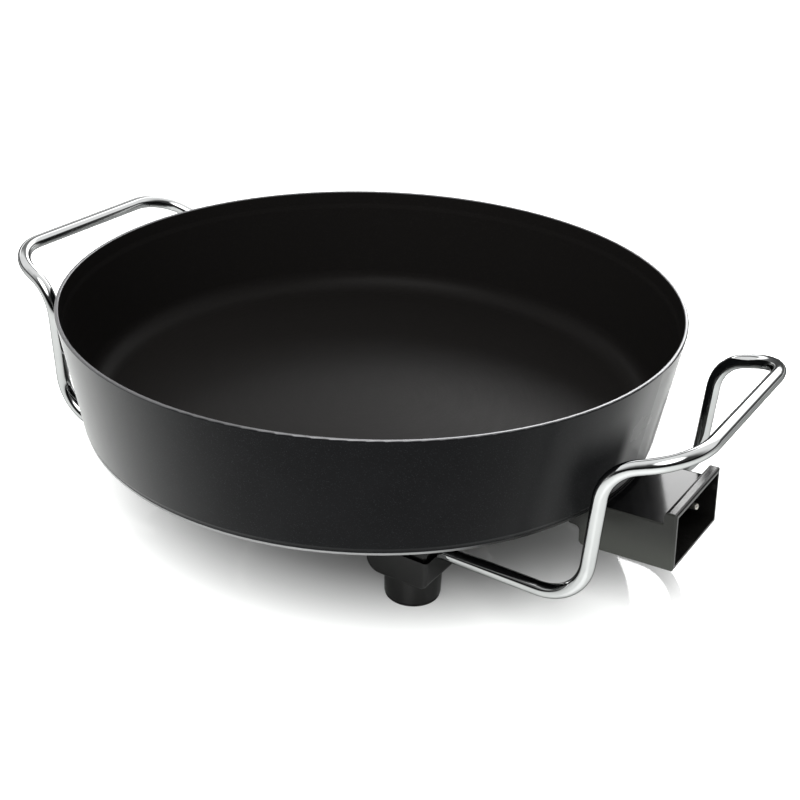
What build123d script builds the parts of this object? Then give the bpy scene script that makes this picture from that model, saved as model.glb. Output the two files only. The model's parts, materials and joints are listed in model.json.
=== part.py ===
from build123d import *
import os
from math import atan2, cos, radians, sin, sqrt, tan

# Round electric skillet. Millimetres, floor at Z = 0, the pan's axis is the Z axis, and the
# thermostat socket points along +X. Front is -Y, right is +X.

# Pan: a die-cast dish with a flared wall
rim_radius = 180.0
pan_depth = 70.9  # outside, from the base to the rim
base_height = 63.5  # the base above the floor
wall = 2.6
base_thickness = 4.5
wall_draft = 9.2  # degrees from upright
base_ring = 1.5  # height of the turned ring around the base
base_ring_setback = 0.5
base_ring_edge = 0.35
base_tuck = 4.5  # height at which the wall starts to tuck in to the ring
base_tuck_round = 3.0
inner_corner = 14.0
rim_round = 0.7
lid_seat_depth = 8.0
lid_seat_step = 0.4
lid_seat_run = 3.0  # height over which the seat runs out into the wall

# Heating element: a tubular horseshoe pressed into a ribbed groove under the base
element_radius = 80.0
sheath_diameter = 7.0
element_drop = 3.7  # centre of the tube below the base
element_bend = 22.0  # plan radius where the horseshoe turns out to the socket
joggle_bend = 12.0
rib_width = 11.0
rib_depth = 5.0
rib_setback = 4.0  # the groove ends this far before the joggle

# Wire handles
rod_diameter = 8.0
leg_spacing = 151.0  # between the two legs of one handle
leg_height = 32.5
riser_setback = 0.5  # foot of the riser inside the rim radius
riser_lean = 4.8
shoulder_drop = 22.0  # shoulder bend below the rim
grip_reach = 45.5  # grip bar beyond the rim radius
grip_drop = 7.6  # grip bar below the rim
grip_width = 135.2
foot_bend = 26.0
shoulder_bend = 24.0
grip_bend = 27.0
paddle_width = 13.2  # flattened end of each leg
paddle_thickness = 4.0
paddle_length = 8.0  # flat stretch outward of the screw
paddle_taper = 6.0
paddle_edge_share = 0.35  # edge rounding as a share of the flattened end's thickness

# Feet and the spacers that stand on them
foot_spacing = 159.0  # between foot centres along X
foot_block_width = 32.0
foot_inner_reach = 21.3
foot_outer_reach = 17.5
foot_block_underside = 15.0
foot_heel_round = 9.0
foot_toe_round = 4.5
foot_tip_radius = 15.6
foot_corner = 2.0
foot_leg_overlap = 2.0  # the round leg runs up into the block
spacer_inset = 2.0
spacer_inner_reach = 18.0
spacer_wall = 2.5
spacer_web = 7.5
pad_thickness = 2.0
pad_radius = 15.2
pad_edge = 0.5
pad_plug = 7.0

# Foot screws
screw_diameter = 5.0
screw_head_diameter = 9.0
screw_head_height = 3.5
screw_grip = 10.5  # moulding left between the head's washer and the wire's axis
washer_diameter = 11.0
washer_thickness = 1.0
boss_length = 14.0
boss_diameter = 11.0
thread_depth = 11.0

# Thermostat socket, laid out in its own tilted frame: u runs out along its axis from the mouth,
# v is Y, and w is up from the middle of the mouth
socket_reach = 29.0  # middle of the mouth beyond the rim radius
socket_drop = 7.85  # middle of the mouth below the base
socket_tilt = 3.0
socket_width = 61.6
socket_height = 34.0
socket_length = 54.0
socket_heel = 2.0
hood_length = 7.0
hood_rise = 6.85
hood_round = 2.5
shroud_wall = 2.5
roof_wall = 2.2  # under the cover
cover_thickness = 1.2
cover_sink = 0.2
cover_gap = 0.8
cover_lip = 0.7  # wall left beside the cover
ear_width = 9.7
ear_depth = 13.5
ear_length = 32.0
ear_nose_round = 3.0
ear_web_depth = 16.3  # deeper web where the ear meets the tube
ear_web_length = 6.5
ear_web_round = 1.2
ear_root_round = 3.0
ear_screw_setback = 7.0
ear_screw_diameter = 3.5
ear_screw_head = 6.8
ear_screw_head_height = 2.4
ear_boss_length = 5.0
ear_boss_diameter = 7.2
shroud_edge = 0.9  # rounding of the shroud's long outer edges
mouth_edge = 1.5

# Terminals
pin_spacing = 30.0
pin_diameter = 4.0
pin_shank_diameter = 4.6  # where it passes through the block
pin_dome_share = 0.7  # tip rounding as a share of the pin's radius
pin_recess = 5.1  # pin tips behind the mouth
terminal_drop = 2.0  # axis of the pins and the probe below the middle of the mouth
block_recess = 28.0
block_thickness = 8.0
collar_diameter = 7.2
collar_thickness = 2.0
tail_diameter = 2.4
creep_gap = 3.0
seal_length = 3.0
seal_diameter = 6.8
pin_skirt = 2.0
sleeve_bore = 8.4
sleeve_wall = 0.8
sleeve_depth = 76.0
sleeve_lip = 1.5
probe_block_radius = 8.5
probe_block_length = 47.0
probe_block_setback = 7.0  # behind the shroud's inner end
probe_tab_reach = 9.0  # screw beyond the block's inner end

# Clearances
fit = 0.1  # around fixed pieces that slide together
ease = 0.3  # around pieces with room to spare

# Worked out from the sizes above
rim_height = base_height + pan_depth
base_radius = rim_radius - pan_depth * tan(radians(wall_draft))
foot_x = foot_spacing / 2
leg_y = leg_spacing / 2
riser_x = rim_radius - riser_setback
grip_x = rim_radius + grip_reach
grip_height = rim_height - grip_drop
element_height = base_height - element_drop
terminal_v = pin_spacing / 2
mouth_x = rim_radius + socket_reach
mouth_z = base_height - socket_drop
floor_w = -socket_height / 2
hood_w = socket_height / 2
wall_w = hood_w - hood_rise
roof_w = wall_w - cover_sink - cover_thickness
cavity_half_width = socket_width / 2 - shroud_wall
cover_recess_half_width = socket_width / 2 - cover_lip
block_back = block_recess + block_thickness
seal_face = block_back + collar_thickness + creep_gap
sheath_end = seal_face + seal_length
ear_x = mouth_x - socket_length - ear_length
ear_y = socket_width / 2 - ear_width / 2
ear_screw_x = ear_x + ear_screw_setback
joggle_x = ear_screw_x  # the element leaves its groove abreast of the ears' screws
cast_root = base_height + base_thickness / 4  # cast-on ribs and bosses start inside the base
boss_end = base_height - boss_length
web_underside = leg_height - screw_grip
probe_block_inner = -socket_length - probe_block_setback - probe_block_length
screw_seat = base_height - ear_depth + ear_screw_head_height + ease

socket_frame = Pos(mouth_x, 0, mouth_z) * Rot(0, -socket_tilt, 0)
terminal_axes = [Pos(0, side * terminal_v, -terminal_drop) for side in (-1, 1)]
probe_axis = Pos(0, 0, -terminal_drop)
foot_places = {
    "front_right": (1, -1),
    "back_right": (1, 1),
    "front_left": (-1, -1),
    "back_left": (-1, 1),
}


def socket_point(u, v, w):
    """A point given in the socket's tilted frame, as a point of the whole skillet."""
    lean = radians(socket_tilt)
    return (mouth_x + u * cos(lean) - w * sin(lean), v, mouth_z + u * sin(lean) + w * cos(lean))


tab_screw_x = socket_point(probe_block_inner, 0, -terminal_drop)[0] - probe_tab_reach
base_screw_places = [(ear_screw_x, -ear_y), (ear_screw_x, ear_y), (tab_screw_x, 0)]


def outline(*corners):
    """A closed flat outline through corners (x, y, radius of the corner)."""
    points = [(x, y) for x, y, _ in corners]
    return make_face(FilletPolyline(*points, radius=[r for _, _, r in corners], close=True))


def block(x0, x1, y0, y1, z0, z1):
    """A box between two opposite corners."""
    size = Box(x1 - x0, y1 - y0, z1 - z0)
    return Pos((x0 + x1) / 2, (y0 + y1) / 2, (z0 + z1) / 2) * size


def post(radius, z0, z1):
    """An upright cylinder on the Z axis between two heights."""
    return Pos(0, 0, (z0 + z1) / 2) * Cylinder(radius, z1 - z0)


def bar(radius, x0, x1):
    """A cylinder on the X axis between two places along it."""
    return Pos((x0 + x1) / 2, 0, 0) * Rot(0, 90, 0) * Cylinder(radius, x1 - x0)


def along_x(profile, width):
    """A side profile drawn in X and Z, given its width along Y, half to each side."""
    return extrude(Plane.XZ * profile, width / 2, both=True)


def at_foot(piece, side_x, side_y):
    """A piece drawn at the origin for a right foot, moved to one of the four feet."""
    placed = Pos(foot_x, side_y * leg_y, 0) * piece
    return placed if side_x > 0 else mirror(placed, about=Plane.YZ)


# ------------------------------------------------------------------------------ pan


def pan_shell():
    """The dish: turned base ring, flared wall, rounded rim and the shallow seat for a lid."""
    slope = tan(radians(wall_draft))
    wall_across = wall / cos(radians(wall_draft))
    inner_floor = base_height + base_thickness
    seat_height = rim_height - lid_seat_depth
    inner_rim = rim_radius - wall_across
    inner_seat = inner_rim - lid_seat_depth * slope
    inner_run = inner_seat - lid_seat_run * slope
    inner_foot = inner_rim - (rim_height - inner_floor) * slope
    ring_radius = base_radius - base_ring_setback
    section = outline(
        (0, base_height, 0),
        (ring_radius, base_height, base_ring_edge),
        (ring_radius, base_height + base_ring, 0),
        (base_radius + base_tuck * slope, base_height + base_tuck, base_tuck_round),
        (rim_radius, rim_height, rim_round),
        (inner_rim + lid_seat_step, rim_height, rim_round),
        (inner_seat + lid_seat_step, seat_height, lid_seat_run / 2),
        (inner_run, seat_height - lid_seat_run, lid_seat_run / 2),
        (inner_foot, inner_floor, inner_corner),
        (0, inner_floor, 0),
    )
    return revolve(Plane.XZ * section, Axis.Z)


def element_plan(run_out):
    """Half of the horseshoe in plan: ring, outward bend and straight run to X = run_out."""
    bend_y = terminal_v + element_bend
    bend_x = sqrt((element_radius + element_bend) ** 2 - bend_y**2)
    turn = atan2(bend_y, bend_x)
    leave = Vector(cos(turn), sin(turn), 0) * element_radius
    ring = TangentArc((-element_radius, 0, 0), leave, tangent=(0, 1, 0))
    bend = TangentArc(leave, (bend_x, terminal_v, 0), tangent=(sin(turn), -cos(turn), 0))
    run = Line((bend_x, terminal_v, 0), (run_out, terminal_v, 0))
    return [ring.edge(), bend.edge(), run.edge()]


def element_tube(flat_edges, further_edges, diameter):
    """A round bar swept from the back of the ring along lifted flat edges and any further ones."""
    path = Wire([Pos(0, 0, element_height) * edge for edge in flat_edges] + further_edges)
    start = Plane(origin=(-element_radius, 0, element_height), x_dir=(1, 0, 0), z_dir=(0, 1, 0))
    return sweep(start * Circle(diameter / 2), path=path)


def element_rib():
    """The raised rib under the base, with the open groove that the element is pressed into."""
    rib_end = joggle_x - rib_setback
    half = element_plan(rib_end)
    underside = base_height - rib_depth
    channel_width = sheath_diameter + 2 * fit
    rib = extrude(trace(half, rib_width), cast_root - underside)
    slot = extrude(trace(element_plan(rib_end + 1), channel_width), rib_depth - element_drop)
    groove = Pos(0, 0, underside) * slot + element_tube(half, [], channel_width)
    rib = Pos(0, 0, underside) * rib
    both_ribs = rib + mirror(rib, about=Plane.XZ)
    both_grooves = groove + mirror(groove, about=Plane.XZ)
    return both_ribs, both_grooves


def pan_body():
    """The cast pan with everything that is cast on under its base."""
    body = pan_shell()
    ribs, grooves = element_rib()
    body += ribs
    foot_boss = post(boss_diameter / 2, boss_end, cast_root)
    ear_boss = post(ear_boss_diameter / 2, base_height - ear_boss_length, cast_root)
    for side_x, side_y in foot_places.values():
        body += at_foot(foot_boss, side_x, side_y)
    for x, y in base_screw_places:
        body += Pos(x, y, 0) * ear_boss
    body -= grooves
    tapped = post(screw_diameter / 2 + fit, boss_end - 1, boss_end + thread_depth + 1)
    for side_x, side_y in foot_places.values():
        body -= at_foot(tapped, side_x, side_y)
    ear_tapped = post(ear_screw_diameter / 2 + fit, base_height - ear_boss_length - 1, cast_root)
    for x, y in base_screw_places:
        body -= Pos(x, y, 0) * ear_tapped
    return body


# ------------------------------------------------------------------------------ heating


def heating_element():
    """The sheathed horseshoe; both ends step down and run on into the socket."""
    plan = element_plan(joggle_x - joggle_bend / 2)
    start = plan[-1] @ 1
    step = FilletPolyline(
        (start.X, terminal_v, element_height),
        (joggle_x, terminal_v, element_height),
        socket_point(-socket_length - 2 * shroud_wall - socket_heel, terminal_v, -terminal_drop),
        socket_point(-sheath_end, terminal_v, -terminal_drop),
        radius=joggle_bend,
    )
    half = element_tube(plan, step.edges(), sheath_diameter)
    return half + mirror(half, about=Plane.XZ)


def element_seals():
    """Ceramic beads on the two ends of the sheath, pierced for the pins' tails."""
    bead = bar(seal_diameter / 2, -sheath_end, -seal_face)
    bead -= bar(tail_diameter / 2 + fit, -sheath_end - 1, -seal_face + 1)
    return Compound([socket_frame * axis * bead for axis in terminal_axes])


def contact_pin():
    """A round contact pin with a domed tip, a collar behind the block and a thin tail."""
    radius = pin_diameter / 2
    shank = pin_shank_diameter / 2
    dome = radius * pin_dome_share
    skirt_face = -block_recess + pin_skirt
    section = outline(
        (-sheath_end, 0, 0),
        (-sheath_end, tail_diameter / 2, 0),
        (-block_back - collar_thickness, tail_diameter / 2, 0),
        (-block_back - collar_thickness, collar_diameter / 2, 0),
        (-block_back, collar_diameter / 2, 0),
        (-block_back, shank, 0),
        (skirt_face, shank, 0),
        (skirt_face, radius, 0),
        (-pin_recess, radius, dome),
        (-pin_recess, 0, 0),
    )
    return revolve(section, Axis.X)


def terminal_block():
    """The moulded plate that closes the back of the socket and carries pins and sleeve."""
    plate = block(
        -block_back, -block_recess,
        -cavity_half_width + ease, cavity_half_width - ease,
        floor_w + shroud_wall, roof_w - roof_wall - ease,
    )
    skirt = bar(pin_shank_diameter / 2 + pin_skirt, -block_recess - 1, -block_recess + pin_skirt)
    for axis in terminal_axes:
        plate += axis * skirt
    for axis in terminal_axes:
        plate -= axis * bar(pin_shank_diameter / 2 + fit, -block_back - 1, 0)
    plate -= probe_axis * bar(sleeve_bore / 2 + sleeve_wall + fit, -block_back - 1, 0)
    return plate


def probe_sleeve():
    """Thin metal well for the thermostat's probe, with a lip on the block's face."""
    inner = sleeve_bore / 2
    outer = inner + sleeve_wall
    inner_end = -block_recess - sleeve_depth
    section = outline(
        (inner_end, 0, 0),
        (inner_end, outer, outer / 2),
        (-block_recess, outer, 0),
        (-block_recess, outer + sleeve_lip, 0),
        (-block_recess + sleeve_wall, outer + sleeve_lip, 0),
        (-block_recess + sleeve_wall, inner, 0),
        (inner_end + sleeve_wall, inner, 0),
        (inner_end + sleeve_wall, 0, 0),
    )
    return revolve(section, Axis.X)


def probe_block():
    """Cast block that holds the probe sleeve against the base by a tab and one screw."""
    top = 2 * probe_block_radius + socket_drop
    section = Circle(probe_block_radius) + Pos(0, top / 2) * Rectangle(2 * probe_block_radius, top)
    lug = extrude(Plane.YZ * section, probe_block_length)
    lug = socket_frame * probe_axis * Pos(probe_block_inner, 0, 0) * lug
    tab = Pos(tab_screw_x, 0, 0) * post(probe_block_radius, screw_seat, base_height)
    tab += block(
        tab_screw_x, tab_screw_x + probe_tab_reach + probe_block_radius,
        -probe_block_radius, probe_block_radius, screw_seat, base_height,
    )
    body = (lug & block(0, rim_radius, -rim_radius, rim_radius, 0, base_height)) + tab
    body -= socket_frame * probe_axis * bar(
        sleeve_bore / 2 + sleeve_wall + fit, -block_recess - sleeve_depth - ease, 0
    )
    screw_axis = Pos(tab_screw_x, 0, 0)
    body -= screw_axis * post(ear_screw_diameter / 2 + ease, 0, base_height + 1)
    return body - screw_axis * post(
        ear_boss_diameter / 2 + fit, base_height - ear_boss_length, base_height + 1
    )


# ------------------------------------------------------------------------------ socket


def pan_envelope():
    """The room that the pan takes up; the shroud and its cover are trimmed to it."""
    room = outline(
        (0, base_height, 0),
        (base_radius + ease, base_height, 0),
        (rim_radius + ease, rim_height, 0),
        (0, rim_height, 0),
    )
    return revolve(Plane.XZ * room, Axis.Z)


def shroud_side(mouth_round, hood_back_round):
    """Side outline of the shroud's tube with its raised hood at the mouth."""
    return outline(
        (0, floor_w, mouth_round),
        (0, hood_w, mouth_round),
        (-hood_length, hood_w, hood_back_round),
        (-hood_length, wall_w, 0),
        (-socket_length, wall_w, 0),
        (-socket_length, floor_w, socket_heel),
    )


def shroud_tube():
    """The tilted tube of the shroud with its raised hood and the recess for the cover."""
    tube = along_x(shroud_side(0, 0), socket_width)
    tube = fillet(tube.edges().filter_by(Axis.X), shroud_edge)
    plan = outline(
        (0, -socket_width / 2, mouth_edge),
        (0, socket_width / 2, mouth_edge),
        (-socket_length, socket_width / 2, 0),
        (-socket_length, -socket_width / 2, 0),
    )
    tube &= along_x(shroud_side(mouth_edge, hood_round), socket_width)
    tube &= Pos(0, 0, floor_w) * extrude(plan, socket_height)
    half = cavity_half_width
    recess_half = cover_recess_half_width
    tube -= block(
        -socket_length + shroud_wall, 1, -half, half, floor_w + shroud_wall, roof_w - roof_wall
    )
    tube -= block(-hood_length + shroud_wall, 1, -half, half, floor_w + shroud_wall, hood_w - shroud_wall)
    tube -= block(-socket_length - 1, -hood_length, -recess_half, recess_half, roof_w, hood_w + 1)
    for axis in terminal_axes:
        tube -= axis * bar(sheath_diameter / 2 + ease, -socket_length - 1, -seal_face)
    tube -= probe_axis * bar(sleeve_bore / 2 + sleeve_wall + ease, -socket_length - 1, -seal_face)
    return socket_frame * tube


def shroud_ear():
    """One of the two ears that run in under the base and are screwed to it."""
    underside = base_height - ear_depth
    web_underside_z = base_height - ear_web_depth
    heel_x, _, heel_z = socket_point(-socket_length, 0, floor_w + socket_heel)
    root_x = heel_x - (web_underside_z - heel_z) * tan(radians(socket_tilt))
    web_x = root_x - ear_web_length
    inside_wall = -socket_length + shroud_wall / 2
    heel_inside_x, _, heel_inside_z = socket_point(inside_wall, 0, floor_w + socket_heel)
    top_inside_x = socket_point(inside_wall, 0, wall_w)[0]
    side = outline(
        (ear_x, base_height, 0),
        (ear_x, underside, ear_nose_round),
        (web_x, underside, ear_web_round),
        (web_x, web_underside_z, ear_web_round),
        (root_x, web_underside_z, ear_root_round),
        (heel_x, heel_z, 0),
        (heel_inside_x, heel_inside_z, 0),
        (top_inside_x, base_height, 0),
    )
    ear = along_x(side, ear_width)
    screw_axis = Pos(ear_screw_x, 0, 0)
    ear -= screw_axis * post(ear_screw_diameter / 2 + ease, 0, base_height + 1)
    ear -= screw_axis * post(ear_screw_head / 2 + ease, 0, screw_seat)
    ear -= screw_axis * post(ear_boss_diameter / 2 + fit, base_height - ear_boss_length, base_height + 1)
    pocket_x = ear_screw_x + ear_boss_diameter / 2 + shroud_wall
    half = ear_width / 2 - shroud_wall
    ear -= block(pocket_x, web_x, -half, half, underside + shroud_wall, base_height + 1)
    return ear


def socket_shroud():
    """The moulded shroud: tube, hood and ears in one piece, trimmed to the pan."""
    shroud = shroud_tube()
    for side in (-1, 1):
        shroud += Pos(0, side * ear_y, 0) * shroud_ear()
    return shroud - pan_envelope()


def socket_cover():
    """The plain gloss plate let in between the shroud's side walls."""
    half = cover_recess_half_width - fit
    inner_end = -socket_length + shroud_wall + 2 * cover_gap
    plate = block(inner_end, -hood_length - cover_gap, -half, half, roof_w, roof_w + cover_thickness)
    return socket_frame * plate - pan_envelope()


def base_screws():
    """The three like screws into the base: two through the ears, one through the block's tab."""
    head = post(ear_screw_head / 2, screw_seat - ear_screw_head_height, screw_seat)
    screw = head + post(ear_screw_diameter / 2, screw_seat - 1, base_height - fit)
    return Compound([Pos(x, y, 0) * screw for x, y in base_screw_places])


# ------------------------------------------------------------------------------ handles


def handle():
    """The right handle: bent round wire whose two ends are flattened and drilled."""
    start_x = foot_x + paddle_length + paddle_taper
    shoulder_x = riser_x + riser_lean
    shoulder_z = rim_height - shoulder_drop
    near = [
        (start_x, -leg_y, leg_height),
        (riser_x, -leg_y, leg_height),
        (shoulder_x, -leg_y, shoulder_z),
        (grip_x, -grip_width / 2, grip_height),
    ]
    far = [(x, -y, z) for x, y, z in reversed(near)]
    bends = [foot_bend, shoulder_bend, grip_bend]
    path = FilletPolyline(*near, *far, radius=bends + bends[::-1])
    begin = Plane(origin=near[0], x_dir=(0, 1, 0), z_dir=(1, 0, 0))
    rod = sweep(begin * Circle(rod_diameter / 2), path=path)
    return rod + leg_end(-1) + leg_end(1)


def leg_end(side):
    """The flattened, drilled end of a leg, tapering up to the round wire."""
    flat_x = foot_x + paddle_length
    y = side * leg_y
    flat_plane = Plane(origin=(flat_x, y, leg_height), x_dir=(0, 1, 0), z_dir=(1, 0, 0))
    round_plane = flat_plane.offset(paddle_taper)
    flat_edge = RectangleRounded(paddle_width, paddle_thickness, paddle_thickness * paddle_edge_share)
    taper = loft([flat_plane * flat_edge, round_plane * Circle(rod_diameter / 2)])
    paddle = extrude(flat_plane * flat_edge, -paddle_length)
    tip = post(paddle_width / 2, -paddle_thickness / 2, paddle_thickness / 2)
    end = taper + paddle + Pos(foot_x, y, leg_height) * tip
    hole = post(screw_diameter / 2 + fit, leg_height - paddle_width, leg_height + paddle_width)
    return end - Pos(foot_x, y, 0) * hole


def wire_room():
    """Hollow that the end of a leg lies in, shared by a foot and its spacer."""
    half = paddle_width / 2 + ease
    flat = paddle_thickness / 2
    round_half = rod_diameter / 2 + fit
    taper_end = paddle_length + paddle_taper
    room = post(half, -flat, flat) + block(0, paddle_length, -half, half, -flat, flat)
    room += block(paddle_length - fit, taper_end, -half, half, -round_half, round_half)
    room += bar(round_half, taper_end - 1, foot_outer_reach + 1)
    return Pos(0, 0, leg_height) * room


# ------------------------------------------------------------------------------ feet


def foot():
    """A foot: tapered round leg under a block that carries the wire's end."""
    side = outline(
        (-foot_inner_reach, leg_height, 0),
        (-foot_inner_reach, foot_block_underside, foot_heel_round),
        (foot_outer_reach, foot_block_underside, foot_toe_round),
        (foot_outer_reach, leg_height, 0),
    )
    body = along_x(side, foot_block_width)
    body = fillet(body.edges().filter_by(Axis.Z), foot_corner)
    leg_length = foot_block_underside + foot_leg_overlap - pad_thickness
    leg = Cone(foot_tip_radius, foot_block_width / 2, leg_length)
    body += Pos(0, 0, pad_thickness + leg_length / 2) * leg
    body -= wire_room()
    body -= post(washer_diameter / 2 + ease, 0, web_underside)
    return body - post(screw_diameter / 2 + ease, 0, leg_height + 1)


def spacer():
    """Hollow spacer between foot and base; its tube takes the pan's boss."""
    half_width = foot_block_width / 2 - spacer_inset
    outer = foot_outer_reach - spacer_inset
    body = block(-spacer_inner_reach, outer, -half_width, half_width, leg_height, base_height)
    body = fillet(body.edges().filter_by(Axis.Z), foot_corner)
    inner_half = half_width - spacer_wall
    web = leg_height + spacer_web
    body -= block(
        spacer_wall - spacer_inner_reach, outer - spacer_wall, -inner_half, inner_half, web, base_height + 1
    )
    body += post(boss_diameter / 2 + spacer_wall, leg_height, base_height)
    body -= wire_room()
    body -= post(boss_diameter / 2 + fit, boss_end, base_height + 1)
    return body - post(screw_diameter / 2 + ease, 0, boss_end + 1)


def foot_pad():
    """Rubber pad under a foot, with a plug that stops the screw's hole."""
    disc = fillet(post(pad_radius, 0, pad_thickness).edges().sort_by(Axis.Z)[0], pad_edge)
    return disc + post(washer_diameter / 2 + fit, pad_thickness - 1, pad_thickness + pad_plug)


def foot_screw():
    """Screw from the foot through the wire's end into the pan's boss."""
    head_top = web_underside - washer_thickness
    head = post(screw_head_diameter / 2, head_top - screw_head_height, head_top)
    return head + post(screw_diameter / 2, head_top - 1, boss_end + thread_depth)


def foot_washer():
    """Washer between the screw's head and the foot."""
    ring = post(washer_diameter / 2, web_underside - washer_thickness, web_underside)
    return ring - post(screw_diameter / 2 + fit, 0, leg_height)


# ------------------------------------------------------------------------------ assembly


def all_nodes():
    """Every piece of the skillet by the name of its node."""
    nodes = {
        "pan_body": pan_body(),
        "heating_element": heating_element(),
        "element_seals": element_seals(),
        "terminal_block": socket_frame * terminal_block(),
        "probe_sleeve": socket_frame * probe_axis * probe_sleeve(),
        "socket_shroud": socket_shroud(),
        "socket_cover": socket_cover(),
        "base_screws": base_screws(),
        "probe_block": probe_block(),
        "handle_right": handle(),
    }
    nodes["handle_left"] = mirror(nodes["handle_right"], about=Plane.YZ)
    for name, axis in zip(("live", "neutral"), terminal_axes):
        nodes[f"contact_pin_{name}"] = socket_frame * axis * contact_pin()
    foot_piece, spacer_piece, pad_piece = foot(), spacer(), foot_pad()
    screws, washers = [], []
    for place, (side_x, side_y) in foot_places.items():
        nodes[f"foot_{place}"] = at_foot(foot_piece, side_x, side_y)
        nodes[f"spacer_{place}"] = at_foot(spacer_piece, side_x, side_y)
        nodes[f"foot_pad_{place}"] = at_foot(pad_piece, side_x, side_y)
        screws.append(at_foot(foot_screw(), side_x, side_y))
        washers.append(at_foot(foot_washer(), side_x, side_y))
    nodes["foot_screws"] = Compound(screws)
    nodes["foot_washers"] = Compound(washers)
    return nodes


os.makedirs("parts", exist_ok=True)
for node_name, node_shape in all_nodes().items():
    export_step(node_shape, f"parts/{node_name}.step")
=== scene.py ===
import functools
import json
import math

import bpy
from mathutils import Matrix, Vector

# Electric skillet: finishes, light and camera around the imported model. Metres, Z up, the pan's
# axis is the Z axis, the thermostat socket points along +X and the front is -Y.
# A ramp is written as from, to, and where it isn't from 0 to 1, the levels there.

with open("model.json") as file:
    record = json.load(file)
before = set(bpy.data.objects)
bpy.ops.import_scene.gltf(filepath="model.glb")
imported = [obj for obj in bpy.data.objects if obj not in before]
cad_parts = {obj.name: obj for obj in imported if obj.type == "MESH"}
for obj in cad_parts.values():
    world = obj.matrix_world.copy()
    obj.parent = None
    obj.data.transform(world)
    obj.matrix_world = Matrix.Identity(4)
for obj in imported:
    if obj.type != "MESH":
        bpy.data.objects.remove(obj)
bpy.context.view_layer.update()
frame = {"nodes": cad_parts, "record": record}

# ---------------------------------------------------------------- where the pan's coats begin
RIM_RADIUS = 0.180
RIM_HEIGHT = 0.1344
BASE_HEIGHT = 0.0635
WALL_SLOPE = math.tan(math.radians(9.2))
HALF_WALL = 0.0013  # from the outer face of the wall to where the two coats meet
COAT_SEAM = (-0.0002, 0.0002)  # ramp across that meeting
INNER_COAT = (BASE_HEIGHT + 0.0020, BASE_HEIGHT + 0.0026)  # height where the inner coat begins
BARE_RIM = (0.0006, 0.0)  # depth below the rim over which the coat thins out
RING_INNER = (0.1637, 0.1640)  # radius where the turned ring around the base begins
RING_TOP = (BASE_HEIGHT + 0.0015, BASE_HEIGHT + 0.0013)  # height where it ends

# ---------------------------------------------------------------- painted sheen on the outer coat
PAINTED_SHEEN = 0.76  # painted sheen: share of white painted into the coat at the wall's outline, as seen by the viewer
PAINTED_SHEEN_POWER = 4  # how narrow it stays along the outline
PAINTED_SHEEN_HEIGHT = (BASE_HEIGHT + 0.0015, BASE_HEIGHT + 0.0060)  # where it begins above the turned ring
PAINTED_SHEEN_FRONT = (-1.2, -0.8, 1.0, 0.8)  # less of it on the right half of the front, by the angle
PAINTED_SHEEN_RIGHT = (-0.28, -0.08, 0.0, 0.62)  # and more of it from above the socket on
RISER_SHADE = 0.85  # painted shade: share of the painted sheen that is missing low down beside each upright of the right handle
RISER_ANGLES = ((0.10, 0.17), (0.45, 0.34))  # by the angle from the socket, to either side
RISER_HEIGHT = (0.122, 0.096)

# ---------------------------------------------------------------- painted reflection on the socket's outer sides
SOCKET_SIDE = 0.0308  # from the middle to the outer face
SIDE_X = (0.150, 0.160)  # where the socket's box begins
SIDE_FACE = (SOCKET_SIDE - 0.0018, SOCKET_SIDE - 0.0006)  # up to that face
SIDE_EAR = (SOCKET_SIDE + 0.0012, SOCKET_SIDE + 0.0005)  # past it begin the ears, which stay dark
SIDE_HEIGHT = (0.064, 0.040, 0.3, 1.0)  # the painted reflection is paler towards the bottom

# ---------------------------------------------------------------- camera
CAMERA_PLACE = (0.39799, -0.60901, 0.43741)
CAMERA_AZIMUTH = 31.80
CAMERA_ELEVATION = 27.18
CAMERA_ROLL = 1.97
CAMERA_LENS = 61.11
SENSOR_WIDTH = 36.0

# ---------------------------------------------------------------- floor
FLOOR_SIZE = 12.0
FLOOR_COLOUR = (0.755, 0.77, 0.755)
FLOOR_ROUGHNESS = 0.05
FLOOR_SPECULAR = 0.9
PAPER_MIDDLE = (0.0, 0.07, 0.0)
LIFT_REACH = (0.12, 0.30, 0.026, 1.0)  # painted light: its own glow for the camera, by the distance from there, fading the shadow out into white
GLOSSY_REACH = (0.20, 0.40, 0.0, 0.15)  # the same painted glow for what metal and coats mirror

# ---------------------------------------------------------------- room that metal and gloss mirror
AMBIENT = 0.4  # the world's level for everything that neither the camera nor a mirror sees
CAMERA_SIDE = (0.53, -0.85, 0.0)
ROOM_RAMP = (-0.1, 0.6, 1.0, 0.05)  # by the dot product with the camera's side
BACK_RAMP = (-0.70, -0.40, 1.0, 0.0)  # the same for the share of the bright back
BACK_LEVEL = 1.6  # added at the back
BAND_BOTTOM = (0.0, 0.05)  # sines of elevation over which the dark band begins
BAND_TOP = (0.27, 0.36)  # and over which it ends
BAND_LEVEL = 0.08
DARK_LEFT = (-0.15, -0.30)  # the back is dark again to the left of this
DARK_HEIGHT = (0.42, 0.50)  # and above this sine of elevation
DARK_SHARE = 0.9
COVER_WAY = (-0.331, 0.822, 0.463)  # where the socket's cover mirrors the room for the camera
COVER_GLOW = (0.980, 0.995, 0.0, 6.5)  # by the dot product with that way

# ---------------------------------------------------------------- lamp
LAMP_PLACE = (0.22, -0.78, 1.24)
LAMP_SIZE = (1.2, 1.1)
LAMP_TARGET = (0.0, 0.0, 0.05)
LAMP_POWER = 28
LAMP_GLOW = (0.88, 0.985, 0.0, 4.0)  # its soft mirror image, by the dot product with the way to it


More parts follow.
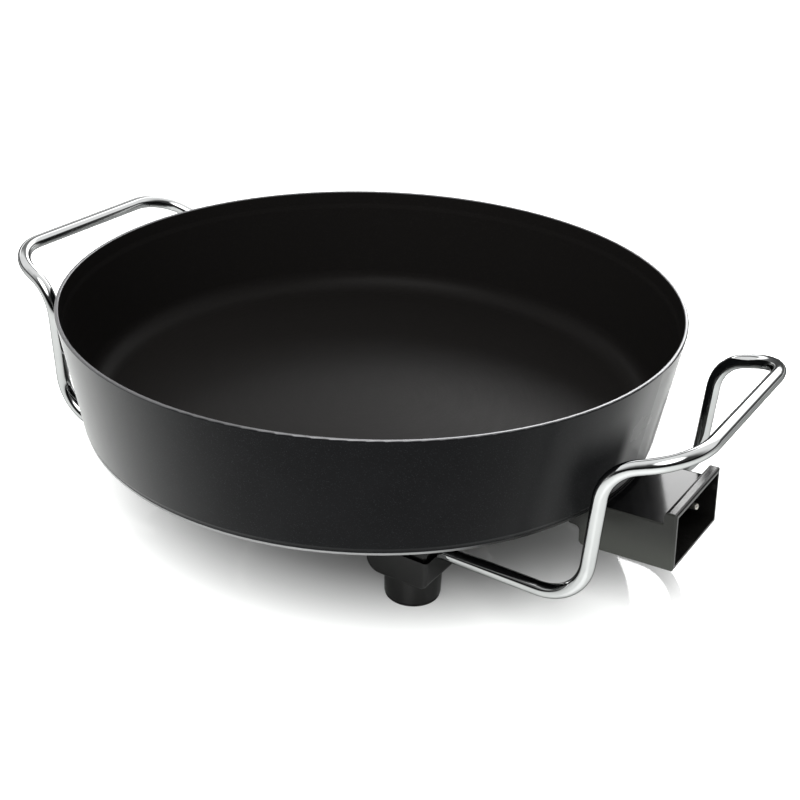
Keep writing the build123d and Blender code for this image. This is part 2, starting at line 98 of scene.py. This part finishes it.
class Tree:
    """A node tree, with short calls for what the finishes, the floor and the world share."""

    def __init__(self, tree):
        self.nodes = tree.nodes
        self.links = tree.links

    def plug(self, socket, value):
        """Sets a socket to a value or links it to another node's output."""
        if isinstance(value, bpy.types.NodeSocket):
            self.links.new(value, socket)
        else:
            socket.default_value = value

    def math(self, operation, a, b=0.0, clamp=False):
        node = self.nodes.new("ShaderNodeMath")
        node.operation = operation
        node.use_clamp = clamp
        self.plug(node.inputs[0], a)
        self.plug(node.inputs[1], b)
        return node.outputs[0]

    def times(self, *values):
        """The product of all the values."""
        return functools.reduce(lambda a, b: self.math("MULTIPLY", a, b), values)

    def plus(self, *values):
        """The sum of all the values."""
        return functools.reduce(lambda a, b: self.math("ADD", a, b), values)

    def without(self, value, share=1.0):
        """1 where the value is 0, and less by the share where it is 1."""
        return self.math("SUBTRACT", 1.0, self.times(value, share))

    def span(self, value, low, high, to_low=0.0, to_high=1.0):
        """Maps the range from low to high onto another range, clamped and smooth."""
        node = self.nodes.new("ShaderNodeMapRange")
        node.interpolation_type = "SMOOTHSTEP"
        for socket, number in zip(node.inputs[1:5], (low, high, to_low, to_high)):
            socket.default_value = number
        self.plug(node.inputs[0], value)
        return node.outputs[0]

    def vector(self, operation, a, b):
        """The dot product of two vectors or the distance between them."""
        node = self.nodes.new("ShaderNodeVectorMath")
        node.operation = operation
        self.plug(node.inputs[0], a)
        self.plug(node.inputs[1], b)
        return node.outputs["Value"]

    def split(self, vector):
        """The three components of a vector."""
        node = self.nodes.new("ShaderNodeSeparateXYZ")
        self.plug(node.inputs[0], vector)
        return node.outputs

    def where(self, output):
        """The place on the object, or the way out into the world."""
        return self.nodes.new("ShaderNodeTexCoord").outputs[output]

    def rays(self):
        """What kind of ray is being traced."""
        return self.nodes.new("ShaderNodeLightPath").outputs


class Finish(Tree):
    """A procedural material: a Principled shader and the nodes that feed it."""

    def __init__(self, name, **constants):
        self.material = bpy.data.materials.new(name)
        self.material.use_nodes = True
        super().__init__(self.material.node_tree)
        self.shader = self.nodes["Principled BSDF"]
        self.set(**constants)
        self.place = self.where("Object")

    def set(self, **inputs):
        """Sets or links inputs of the shader, with _ for the spaces in their names."""
        for name, value in inputs.items():
            self.plug(self.shader.inputs[name.replace("_", " ")], value)

    def stretch(self, x=1.0, y=1.0, z=1.0):
        """The place on the object, scaled differently along each axis."""
        node = self.nodes.new("ShaderNodeMapping")
        node.inputs["Scale"].default_value = (x, y, z)
        self.plug(node.inputs["Vector"], self.place)
        return node.outputs[0]

    def noise(self, size, detail=2.0, vector=None, distortion=0.0):
        """Soft noise, from 0 to 1, with lumps of about the given size in metres."""
        node = self.nodes.new("ShaderNodeTexNoise")
        node.inputs["Scale"].default_value = 1 / size
        node.inputs["Detail"].default_value = detail
        node.inputs["Distortion"].default_value = distortion
        self.plug(node.inputs["Vector"], vector or self.place)
        return node.outputs["Fac"]

    def cells(self, size):
        """A random grey for each cell of about the given size in metres."""
        node = self.nodes.new("ShaderNodeTexVoronoi")
        node.inputs["Scale"].default_value = 1 / size
        self.plug(node.inputs["Vector"], self.place)
        grey = self.nodes.new("ShaderNodeSeparateColor")
        self.plug(grey.inputs[0], node.outputs["Color"])
        return grey.outputs[0]

    def mix(self, share, a, b):
        """Colour a where share is 0 and b where it is 1."""
        node = self.nodes.new("ShaderNodeMix")
        node.data_type = "RGBA"
        self.plug(node.inputs[0], share)
        for socket, value in ((node.inputs[6], a), (node.inputs[7], b)):
            self.plug(socket, value if isinstance(value, bpy.types.NodeSocket) else (*value, 1.0))
        return node.outputs[2]

    def blend(self, share, a, b):
        """Number a where share is 0 and b where it is 1."""
        node = self.nodes.new("ShaderNodeMix")
        self.plug(node.inputs[0], share)
        self.plug(node.inputs[2], a)
        self.plug(node.inputs[3], b)
        return node.outputs[0]

    def facing(self):
        """From 0 where the surface faces the viewer to 1 at its outline."""
        node = self.nodes.new("ShaderNodeLayerWeight")
        node.inputs["Blend"].default_value = 0.5
        return node.outputs["Facing"]

    def bump(self, height, depth):
        """Bumps of the given depth in metres."""
        node = self.nodes.new("ShaderNodeBump")
        node.inputs["Distance"].default_value = depth
        self.plug(node.inputs["Height"], height)
        self.plug(self.shader.inputs["Normal"], node.outputs[0])


class Pan(Finish):
    """The pan's coats and its bare edges, laid out by the radius, angle and height of a place."""

    COAT_SPECULAR = 0.04
    FLAKE_SIZE = 0.00035
    RING_SIZE = 0.0009  # between the marks of turning
    TURN = 0.004  # how much they change along the way round
    CHARCOAL, SPARKLE, DUSTY = (0.0045, 0.0048, 0.0054), (0.040, 0.043, 0.047), (0.008, 0.0085, 0.0095)
    NON_STICK, SPECK = (0.0065, 0.0060, 0.0057), (0.025, 0.023, 0.022)
    # white of the painted sheen at the wall's outline
    PAINTED_SHEEN_COLOUR = (1.0, 1.0, 1.0)
    RIM_METAL, TURNED_METAL = (0.185, 0.185, 0.19), (0.05, 0.05, 0.05)
    # painted reflection: the ring's metal is painted dark by the socket, paler in front and palest on the
    # left
    RING_REFLECTION_METALS = (0.04, 0.04, 0.04), (0.38, 0.38, 0.385), (0.50, 0.50, 0.505)
    RING_CHANGES = (0.6, 0.85), (1.7, 2.0)  # angles from the socket where it changes
    METAL_ROUGHNESS = 0.32

    def __init__(self):
        super().__init__("pan_coating", Specular_IOR_Level=self.COAT_SPECULAR)
        x, y, self.height = self.split(self.place)
        self.radius = self.math("SQRT", self.plus(self.math("POWER", x, 2), self.math("POWER", y, 2)))
        self.angle = self.math("ARCTAN2", y, x)
        self.around = self.math("ABSOLUTE", self.angle)
        self.below_rim = self.math("SUBTRACT", RIM_HEIGHT, self.height)
        self.flake = self.span(self.cells(self.FLAKE_SIZE), 0.90, 0.98)
        self.patch = self.noise(0.03, 3)

    def inside(self):
        """1 on the pan's inner side."""
        middle = self.math("SUBTRACT", RIM_RADIUS - HALF_WALL, self.times(self.below_rim, WALL_SLOPE))
        inward = self.span(self.math("SUBTRACT", middle, self.radius), *COAT_SEAM)
        return self.times(inward, self.span(self.height, *INNER_COAT))

    def painted_sheen(self):
        """Painted sheen: white painted into the satin coat towards the wall's outline, with painted shade
        beside the handle's uprights.
        """
        low, high = RISER_ANGLES
        # painted shade beside each upright of the right handle, where the wall would mirror the dark riser
        painted_riser_shade = self.times(
            self.span(self.around, *low), self.span(self.around, *high), self.span(self.height, *RISER_HEIGHT)
        )
        # painted sheen: white mixed into the coat's colour towards the outline
        painted_sheen = self.times(
            self.math("POWER", self.facing(), PAINTED_SHEEN_POWER),
            PAINTED_SHEEN,
            self.span(self.height, *PAINTED_SHEEN_HEIGHT),
            self.without(painted_riser_shade, RISER_SHADE),
        )
        side = self.plus(self.span(self.angle, *PAINTED_SHEEN_FRONT), self.span(self.angle, *PAINTED_SHEEN_RIGHT))
        return self.math("MULTIPLY", painted_sheen, side, clamp=True)

    def outer_coat(self):
        coat = self.mix(self.times(self.flake, 0.3), self.CHARCOAL, self.SPARKLE)
        coat = self.mix(self.span(self.patch, 0.35, 0.7, 0, 0.3), coat, self.DUSTY)
        # the painted sheen is mixed into the coat's colour here
        return self.mix(self.painted_sheen(), coat, self.PAINTED_SHEEN_COLOUR)

    def turning(self):
        """Fine marks of turning around the pan's axis."""
        way = self.nodes.new("ShaderNodeCombineXYZ")
        for socket, value in zip(way.inputs, (self.radius, self.times(self.angle, self.TURN), self.height)):
            self.plug(socket, value)
        return self.noise(self.RING_SIZE, 2, way.outputs[0])

    def bare_metal(self, on_ring, marks):
        """The turned rim, and the ring around the base, whose metal colour carries a painted reflection by
        the angle.
        """
        # painted reflection: the ring's metal colour changes with the angle from the socket
        ring = self.RING_REFLECTION_METALS[0]
        for change, metal in zip(self.RING_CHANGES, self.RING_REFLECTION_METALS[1:]):
            ring = self.mix(self.span(self.around, *change), ring, metal)
        metal = self.mix(on_ring, self.RIM_METAL, ring)
        return self.mix(self.span(marks, 0.3, 0.7, 0, 0.2), metal, self.TURNED_METAL)

    def dress(self):
        inside = self.inside()
        on_rim = self.span(self.below_rim, *BARE_RIM)
        on_ring = self.times(self.span(self.radius, *RING_INNER), self.span(self.height, *RING_TOP))
        bare = self.math("MAXIMUM", on_rim, on_ring)
        marks = self.turning()
        inner_coat = self.mix(self.times(self.flake, 0.25), self.NON_STICK, self.SPECK)
        coat = self.mix(inside, self.outer_coat(), inner_coat)
        rough = self.blend(
            inside, self.span(self.patch, 0.2, 0.8, 0.22, 0.28), self.span(marks, 0.3, 0.7, 0.38, 0.42)
        )
        self.set(
            Base_Color=self.mix(bare, coat, self.bare_metal(on_ring, marks)),
            Roughness=self.blend(bare, rough, self.METAL_ROUGHNESS),
            Metallic=bare,
        )
        self.bump(self.noise(0.0011, 3), 0.00003)


def pan_coating():
    """Charcoal satin coat with fine flakes outside, black non-stick coat inside, bare rim and ring."""
    pan = Pan()
    pan.dress()
    return pan.material


def bare_aluminium():
    """Die-cast aluminium as it leaves the mould: satin, with flow marks and pores."""
    f = Finish("bare_aluminium", Metallic=1.0)
    bright, dull = (0.62, 0.62, 0.63), (0.48, 0.48, 0.49)
    flow = f.noise(0.008, 4, distortion=0.8)
    pores = f.noise(0.0005, 3)
    f.set(
        Base_Color=f.mix(f.span(flow, 0.35, 0.7), bright, dull),
        Roughness=f.plus(f.span(flow, 0.3, 0.7, 0.38, 0.5), f.span(pores, 0.4, 0.7, 0, 0.1)),
    )
    f.bump(pores, 0.00003)
    return f.material


def chrome():
    """Bright chrome plate with faint drawing lines and wiped smudges."""
    f = Finish("chrome", Metallic=1.0, Specular_Tint=(0.1, 0.1, 0.1, 1.0))
    clean, smudged = (0.70, 0.71, 0.71), (0.64, 0.65, 0.65)
    smudge = f.noise(0.02, 4, distortion=0.4)
    lines = f.noise(0.0012, 3)
    f.set(
        Base_Color=f.mix(f.span(smudge, 0.35, 0.75), clean, smudged),
        Roughness=f.plus(f.span(smudge, 0.4, 0.75, 0.03, 0.07), f.span(lines, 0.5, 0.8, 0, 0.03)),
    )
    f.bump(f.noise(0.006, 2), 0.00002)
    return f.material


def moulding():
    """Semi-gloss black phenolic with flow marks and a fine mould grain, and a painted reflection of the floor
    that makes the socket's sides greyer.
    """
    f = Finish("moulding", Specular_IOR_Level=0.32, Coat_Weight=0.1, Coat_Roughness=0.12)
    black, worn, grey = (0.0055, 0.0053, 0.0050), (0.0085, 0.0082, 0.0078), (0.052, 0.055, 0.048)
    x, y, z = f.split(f.place)
    aside = f.math("ABSOLUTE", y)
    # painted reflection of the floor on the socket's outer sides, paler towards the bottom
    side_painted_reflection = f.times(
        f.span(x, *SIDE_X), f.span(aside, *SIDE_FACE), f.span(aside, *SIDE_EAR), f.span(z, *SIDE_HEIGHT)
    )
    flow = f.noise(0.012, 3, distortion=0.6)
    grain = f.noise(0.0006, 2)
    f.set(
        Base_Color=f.mix(side_painted_reflection, f.mix(f.span(flow, 0.35, 0.7), black, worn), grey),
        Roughness=f.plus(f.span(flow, 0.3, 0.7, 0.18, 0.22), f.span(grain, 0.4, 0.7, 0, 0.05)),
    )
    f.bump(grain, 0.00002)
    return f.material


def gloss_cover():
    """Polished black plate with faint wipe marks."""
    f = Finish("gloss_cover", Specular_IOR_Level=0.27)
    clean, wiped = (0.002, 0.002, 0.0022), (0.004, 0.004, 0.0043)
    wipe = f.noise(0.01, 4, f.stretch(y=3), distortion=0.6)
    f.set(
        Base_Color=f.mix(f.span(wipe, 0.4, 0.7), clean, wiped),
        Roughness=f.span(wipe, 0.35, 0.75, 0.09, 0.12),
    )
    return f.material


def rubber():
    """Matt black rubber with a fine skin and dust in its pores."""
    f = Finish("rubber", Specular_IOR_Level=0.3)
    black, dusty = (0.014, 0.014, 0.014), (0.04, 0.039, 0.037)
    skin = f.noise(0.0008, 4)
    dust = f.noise(0.006, 4)
    f.set(
        Base_Color=f.mix(f.span(dust, 0.45, 0.75), black, dusty),
        Roughness=f.span(skin, 0.3, 0.7, 0.75, 0.92),
    )
    f.bump(skin, 0.00006)
    return f.material


def steel():
    """Plain steel, satin from drawing, with faint heat tint and stains."""
    f = Finish("steel", Metallic=1.0)
    clean, tinted = (0.50, 0.49, 0.47), (0.36, 0.33, 0.29)
    stain = f.noise(0.015, 4)
    lines = f.noise(0.0005, 3)
    f.set(
        Base_Color=f.mix(f.span(stain, 0.4, 0.7), clean, tinted),
        Roughness=f.plus(f.span(stain, 0.3, 0.7, 0.26, 0.38), f.span(lines, 0.4, 0.7, 0, 0.08)),
    )
    f.bump(lines, 0.00001)
    return f.material


def ceramic():
    """Unglazed steatite."""
    f = Finish("ceramic", Specular_IOR_Level=0.3)
    clean, porous = (0.80, 0.77, 0.70), (0.66, 0.62, 0.55)
    pores = f.noise(0.0005, 4)
    f.set(
        Base_Color=f.mix(f.span(pores, 0.4, 0.7), clean, porous),
        Roughness=f.span(pores, 0.3, 0.7, 0.7, 0.85),
    )
    f.bump(pores, 0.00002)
    return f.material


def plated_contact():
    """Nickel-plated brass with fine scratches along its length."""
    f = Finish("plated_contact", Metallic=1.0)
    plated, scratched = (0.78, 0.76, 0.71), (0.70, 0.66, 0.58)
    scratch = f.noise(0.0006, 3, f.stretch(x=0.1))
    f.set(
        Base_Color=f.mix(f.span(scratch, 0.4, 0.7), plated, scratched),
        Roughness=f.span(scratch, 0.3, 0.7, 0.28, 0.38),
    )
    return f.material


# the finish of each material slot in the record
FINISHES = {
    "pan_coating": pan_coating,
    "bare_aluminium": bare_aluminium,
    "chrome": chrome,
    "moulding": moulding,
    "gloss_cover": gloss_cover,
    "rubber": rubber,
    "steel": steel,
    "ceramic": ceramic,
    "plated_contact": plated_contact,
}


def dress_nodes():
    """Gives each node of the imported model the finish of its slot."""
    made = {slot: build() for slot, build in FINISHES.items()}
    for part in frame["record"]["subparts"]:
        node = frame["nodes"][part["node"]]
        node.data.materials.clear()
        node.data.materials.append(made[part["material_slot"]])


def paper_floor():
    """Glossy white paper: it keeps the skillet's shadow and mirror image, and a painted glow rising with the
    distance runs it out to plain white.
    """
    bpy.ops.mesh.primitive_plane_add(size=FLOOR_SIZE, location=(0, 0, 0))
    floor = bpy.context.object
    floor.name = "floor"
    paper = Finish("floor_paper", Specular_IOR_Level=FLOOR_SPECULAR, Emission_Color=(1, 1, 1, 1))
    paper.set(Base_Color=(*FLOOR_COLOUR, 1), Roughness=FLOOR_ROUGHNESS)
    rays = paper.rays()
    far = paper.vector("DISTANCE", paper.place, PAPER_MIDDLE)
    # painted light: the paper glows for the camera and for mirrors, more with the distance from the middle
    seen = paper.times(paper.span(far, *LIFT_REACH), rays["Is Camera Ray"])
    mirrored = paper.times(paper.span(far, *GLOSSY_REACH), rays["Is Glossy Ray"])
    paper.set(Emission_Strength=paper.plus(seen, mirrored))
    floor.data.materials.append(paper.material)


def mirrored_room(w):
    """The light that metal and gloss mirror: dim on the camera's side and in a band low down,
    bright at the back apart from its upper left, with the soft images of the lamp and of a
    window that the socket's cover mirrors."""
    way = w.where("Generated")
    x, _, height = w.split(way)
    facing = w.vector("DOT_PRODUCT", way, CAMERA_SIDE)
    back = w.span(facing, *BACK_RAMP)
    band = w.math("SUBTRACT", w.span(height, *BAND_BOTTOM), w.span(height, *BAND_TOP))
    dark = w.times(w.span(x, *DARK_LEFT), w.span(height, *DARK_HEIGHT), back)
    room = w.times(
        w.plus(w.span(facing, *ROOM_RAMP), w.times(back, BACK_LEVEL)),
        w.without(band, 1 - BAND_LEVEL),
        w.without(dark, DARK_SHARE),
    )
    to_lamp = (Vector(LAMP_PLACE) - Vector(LAMP_TARGET)).normalized()
    window = w.span(w.vector("DOT_PRODUCT", way, COVER_WAY), *COVER_GLOW)
    lamp = w.span(w.vector("DOT_PRODUCT", way, to_lamp), *LAMP_GLOW)
    return w.plus(room, window, lamp)


def surroundings():
    """White for the camera, a room for what mirrors it, and an even light for everything else."""
    world = bpy.data.worlds.new("studio")
    bpy.context.scene.world = world
    world.use_nodes = True
    w = Tree(world.node_tree)
    sky = w.nodes["Background"]
    sky.inputs["Color"].default_value = (1, 1, 1, 1)
    rays = w.rays()
    seen = w.math("MAXIMUM", rays["Is Camera Ray"], rays["Is Transmission Ray"])
    shiny = w.times(rays["Is Glossy Ray"], mirrored_room(w))
    other = w.without(w.math("MAXIMUM", seen, rays["Is Glossy Ray"]))
    w.plug(sky.inputs["Strength"], w.plus(seen, shiny, w.times(other, AMBIENT)))


def make_lamp():
    """One soft rectangular lamp. Its own mirror image is left out, because the room holds a softer one."""
    data = bpy.data.lights.new("overhead", "AREA")
    data.shape = "RECTANGLE"
    data.size, data.size_y = LAMP_SIZE
    data.energy = LAMP_POWER
    lamp = bpy.data.objects.new("overhead", data)
    bpy.context.scene.collection.objects.link(lamp)
    lamp.location = LAMP_PLACE
    lamp.visible_camera = False
    lamp.visible_glossy = False
    lamp.rotation_euler = (Vector(LAMP_TARGET) - Vector(LAMP_PLACE)).to_track_quat("-Z", "Y").to_euler()


def make_camera():
    """The camera at the place that fits the picture's perspective."""
    data = bpy.data.cameras.new("camera")
    data.sensor_width = SENSOR_WIDTH
    data.lens = CAMERA_LENS
    camera = bpy.data.objects.new("camera", data)
    bpy.context.scene.collection.objects.link(camera)
    turn = Matrix.Rotation(math.radians(CAMERA_AZIMUTH), 4, "Z")
    tip = Matrix.Rotation(math.radians(90 - CAMERA_ELEVATION), 4, "X")
    roll = Matrix.Rotation(math.radians(CAMERA_ROLL), 4, "Z")
    camera.matrix_world = Matrix.Translation(CAMERA_PLACE) @ turn @ tip @ roll
    bpy.context.scene.camera = camera


dress_nodes()
paper_floor()
surroundings()
make_lamp()
make_camera()
bpy.context.scene.view_settings.view_transform = "Standard"
